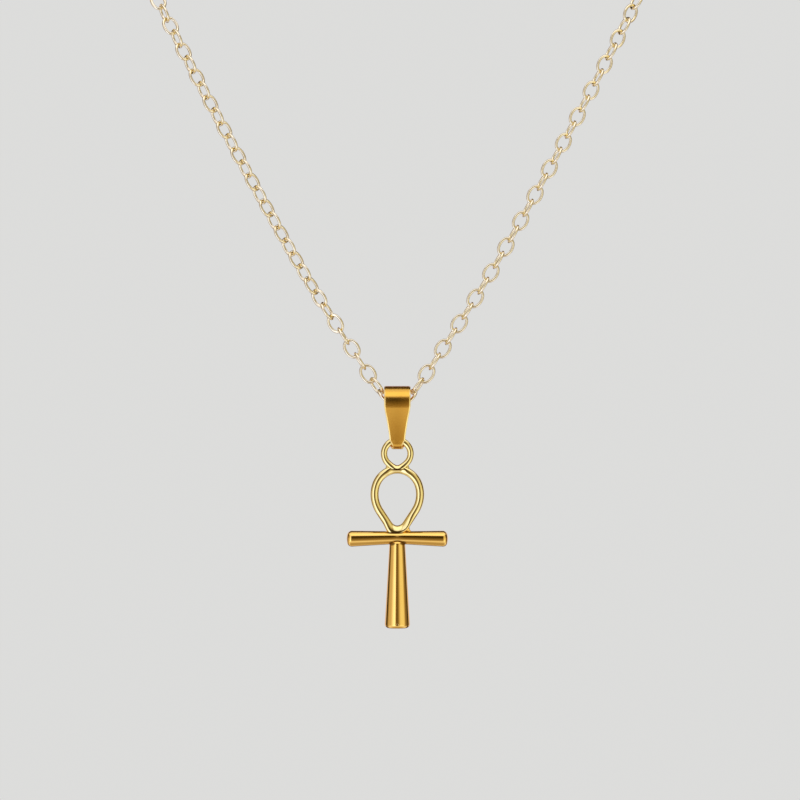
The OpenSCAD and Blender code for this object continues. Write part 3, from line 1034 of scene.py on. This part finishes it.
def studio_world():
    """Plain pale studio air with soft boxes on both sides of the camera, as the metal reflects it."""
    world = bpy.data.worlds.new("Studio")
    world.use_nodes = True
    bpy.context.scene.world = world
    tree = world.node_tree
    nodes, links = tree.nodes, tree.links
    nodes.clear()
    place = nodes.new("ShaderNodeTexCoord")
    parts = add_node(tree, "ShaderNodeSeparateXYZ", {0: place.outputs["Generated"]})
    level = parts.outputs["Z"]
    turn = number(tree, "ARCTAN2", parts.outputs["X"], number(tree, "MULTIPLY", parts.outputs["Y"], -1))
    round_back = number(tree, "ABSOLUTE", turn)
    ramp = add_node(tree, "ShaderNodeValToRGB", {"Fac": number(tree, "MULTIPLY_ADD", level, 0.5, 0.5)})
    stops = ramp.color_ramp.elements
    while len(stops) < len(AIR):
        stops.new(0.5)
    for stop, (sine, light) in zip(stops, AIR):
        stop.position = sine / 2 + 0.5
        stop.color = (light, light, light, 1)
    below = number(tree, "MINIMUM", number(tree, "SUBTRACT", level, DARK_FLOOR), 0)
    limits = {
        "Value": number(tree, "MULTIPLY_ADD", below, DARK_LATER, parts.outputs["Y"]),
        "From Min": DARK_FROM,
        "From Max": DARK_TO,
        "To Min": 1.0,
        "To Max": DARK_SHARE,
    }
    shade = add_node(tree, "ShaderNodeMapRange", limits, interpolation_type="SMOOTHSTEP")
    scaled = {0: ramp.outputs["Color"], "Scale": shade.outputs["Result"]}
    total = add_node(tree, "ShaderNodeVectorMath", scaled, operation="SCALE").outputs["Vector"]
    group = soft_box_group()
    for behind, edges, light, (low, high) in SOFT_BOXES:
        sockets = {"Turn": round_back if behind else turn, "Level": level, "Low": low, "High": high}
        for name, angle in zip(("Rise Start", "Rise End", "Fall Start", "Fall End"), edges):
            sockets[name] = math.radians(angle)
        box = add_node(tree, "ShaderNodeGroup", sockets, node_tree=group)
        total = vector(tree, "MULTIPLY_ADD", box.outputs["Mask"], light, total)
    total = vector(tree, "MAXIMUM", total)
    tone = vector(tree, "MULTIPLY_ADD", total, BRIGHT_TONE, DIM_TONE)
    studio = add_node(tree, "ShaderNodeBackground", {"Color": vector(tree, "MULTIPLY", total, tone)})
    seen = add_node(tree, "ShaderNodeBackground", {"Color": BACKDROP})
    ray = nodes.new("ShaderNodeLightPath")
    ways = {"Fac": ray.outputs["Is Camera Ray"], 1: studio.outputs[0], 2: seen.outputs[0]}
    mix = add_node(tree, "ShaderNodeMixShader", ways)
    end = nodes.new("ShaderNodeOutputWorld")
    links.new(mix.outputs[0], end.inputs["Surface"])


def floor_piece(s):
    """A large plain floor well below the pendant, which the polished metal doesn't mirror."""
    edge = np.linspace(-FLOOR_HALF, FLOOR_HALF, FLOOR_STEPS)
    x, y = np.meshgrid(edge, edge)
    points = np.stack([x, y, np.full_like(x, CAD_BOX[0][2] - FLOOR_DROP)], -1).reshape(-1, 3)
    i, j = np.meshgrid(np.arange(FLOOR_STEPS - 1), np.arange(FLOOR_STEPS - 1))
    corner = (j * FLOOR_STEPS + i).reshape(-1)
    quads = np.stack([corner, corner + 1, corner + FLOOR_STEPS + 1, corner + FLOOR_STEPS], -1)
    mesh = bpy.data.meshes.new("floor")
    mesh.from_pydata(points.tolist(), [], quads.tolist())
    floor = put("floor", mesh)
    material = bpy.data.materials.new("Pale floor")
    material.use_nodes = True
    shader = material.node_tree.nodes["Principled BSDF"]
    shader.inputs["Base Color"].default_value = (*s.finish.floor, 1)
    shader.inputs["Roughness"].default_value = 0.8
    mesh.materials.append(material)
    floor.visible_glossy = False


# Operators


def settings():
    """All settings of the pendant."""
    return bpy.context.scene.ankh_pendant


class PENDANT_OT_chain(bpy.types.Operator):
    """Oval links of round wire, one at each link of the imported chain"""

    bl_idname = "pendant.chain"
    bl_label = "Chain"

    def execute(self, context):
        finish_materials(settings())
        for side in ("right", "left"):
            node = "chain_" + side
            piece = links_mesh(settings(), "links_" + side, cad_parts[node])
            dress(piece, "Pale gold plate", "pale_gold", "chain", node)
        return {"FINISHED"}


class PENDANT_OT_clasp(bpy.types.Operator):
    """Pale gold on the plain clasp at the nape"""

    bl_idname = "pendant.clasp"
    bl_label = "Clasp"

    def execute(self, context):
        finish_materials(settings())
        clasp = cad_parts["clasp"]
        clasp.data.materials.clear()
        clasp.data.materials.append(bpy.data.materials["Pale gold plate"])
        return {"FINISHED"}


class PENDANT_OT_bail(bpy.types.Operator):
    """The folded strip that carries the ankh, with bevelled edges and its front tongue"""

    bl_idname = "pendant.bail"
    bl_label = "Bail"

    def execute(self, context):
        finish_materials(settings())
        points, rim = bail_points(settings())
        piece = put_mesh("bail_strip", points, False)
        edge_map(piece, rim)
        dress(piece, "Amber gold plate", "amber_gold", "bail", "bail")
        return {"FINISHED"}


class PENDANT_OT_ankh(bpy.types.Operator):
    """Ring, loop, crossbar, stem and the small fillets between them"""

    bl_idname = "pendant.ankh"
    bl_label = "Ankh"

    def execute(self, context):
        s = settings()
        finish_materials(s)
        left, right = web_points(s)
        pieces = (
            ("ankh_ring", ring_points(s), True, "Light gold plate"),
            ("ankh_loop", loop_points(s), True, "Light gold plate"),
            ("ankh_web_left", left, False, "Light gold plate"),
            ("ankh_web_right", right, False, "Light gold plate"),
            ("ankh_foot", foot_points(s), False, "Gold plate"),
            ("ankh_crossbar", bar_points(s), False, "Gold plate"),
            ("ankh_stem", stem_points(s), False, "Gold plate"),
        )
        for name, points, wraps, plate in pieces:
            dress(put_mesh(name, points, wraps), plate, "gold", "ankh", "ankh")
        return {"FINISHED"}


class PENDANT_OT_stage(bpy.types.Operator):
    """Camera at the photograph's angle, studio air, a soft light and a pale floor"""

    bl_idname = "pendant.stage"
    bl_label = "Stage"

    def execute(self, context):
        s = settings()
        scene = context.scene
        target = Vector((AIM_ASIDE, ANKH_Y, ring_height(s) + AIM_UP))
        data = bpy.data.cameras.new("Camera")
        data.lens = data.sensor_width * CAMERA_AWAY / VIEW_WIDTH
        camera = put("Camera", data)
        camera.location = target - Vector((0, CAMERA_AWAY, 0))
        camera.rotation_euler = (math.pi / 2, 0, 0)
        scene.camera = camera
        studio_world()
        floor_piece(s)
        soft_light(
            "Top",
            azimuth=0,
            elevation=66,
            distance=1.0,
            size=(1.2, 0.6),
            power=0.8 * s.finish.key,
            tint=(1, 1, 0.98),
            target=target,
        )
        scene.view_settings.view_transform = "Standard"
        scene.view_settings.look = "None"
        return {"FINISHED"}


STEPS = (PENDANT_OT_stage, PENDANT_OT_chain, PENDANT_OT_clasp, PENDANT_OT_bail, PENDANT_OT_ankh)


class PENDANT_PT_panel(bpy.types.Panel):
    """The pendant's pieces and settings"""

    bl_idname = "PENDANT_PT_panel"
    bl_label = "Ankh Pendant"
    bl_space_type = "VIEW_3D"
    bl_region_type = "UI"
    bl_category = "Ankh Pendant"

    def draw(self, context):
        for step in STEPS:
            self.layout.operator(step.bl_idname)
        groups = context.scene.ankh_pendant
        for name in ("chain", "bail", "ring", "loop", "bar", "stem", "finish"):
            box = self.layout.box()
            box.label(text=name.capitalize())
            group = getattr(groups, name)
            for key in group.__annotations__:
                box.prop(group, key)


class PendantSettings(bpy.types.PropertyGroup):
    chain: PointerProperty(type=ChainSettings, name="Chain", description="Sizes of the links")
    bail: PointerProperty(type=BailSettings, name="Bail", description="Sizes of the bail")
    ring: PointerProperty(type=RingSettings, name="Ring", description="Sizes of the ring")
    loop: PointerProperty(type=LoopSettings, name="Loop", description="Sizes of the loop")
    bar: PointerProperty(type=BarSettings, name="Crossbar", description="Sizes of the crossbar")
    stem: PointerProperty(type=StemSettings, name="Stem", description="Sizes of the stem")
    finish: PointerProperty(type=FinishSettings, name="Finish", description="Colours and light")


CLASSES = (
    ChainSettings,
    BailSettings,
    RingSettings,
    LoopSettings,
    BarSettings,
    StemSettings,
    FinishSettings,
    PendantSettings,
    *STEPS,
    PENDANT_PT_panel,
)


def register():
    for cls in CLASSES:
        bpy.utils.register_class(cls)
    bpy.types.Scene.ankh_pendant = PointerProperty(type=PendantSettings)


def unregister():
    del bpy.types.Scene.ankh_pendant
    for cls in reversed(CLASSES):
        bpy.utils.unregister_class(cls)


def main():
    register()
    bpy.ops.pendant.stage()
    bpy.ops.pendant.chain()
    bpy.ops.pendant.clasp()
    bpy.ops.pendant.bail()
    bpy.ops.pendant.ankh()


if __name__ == "__main__":
    main()
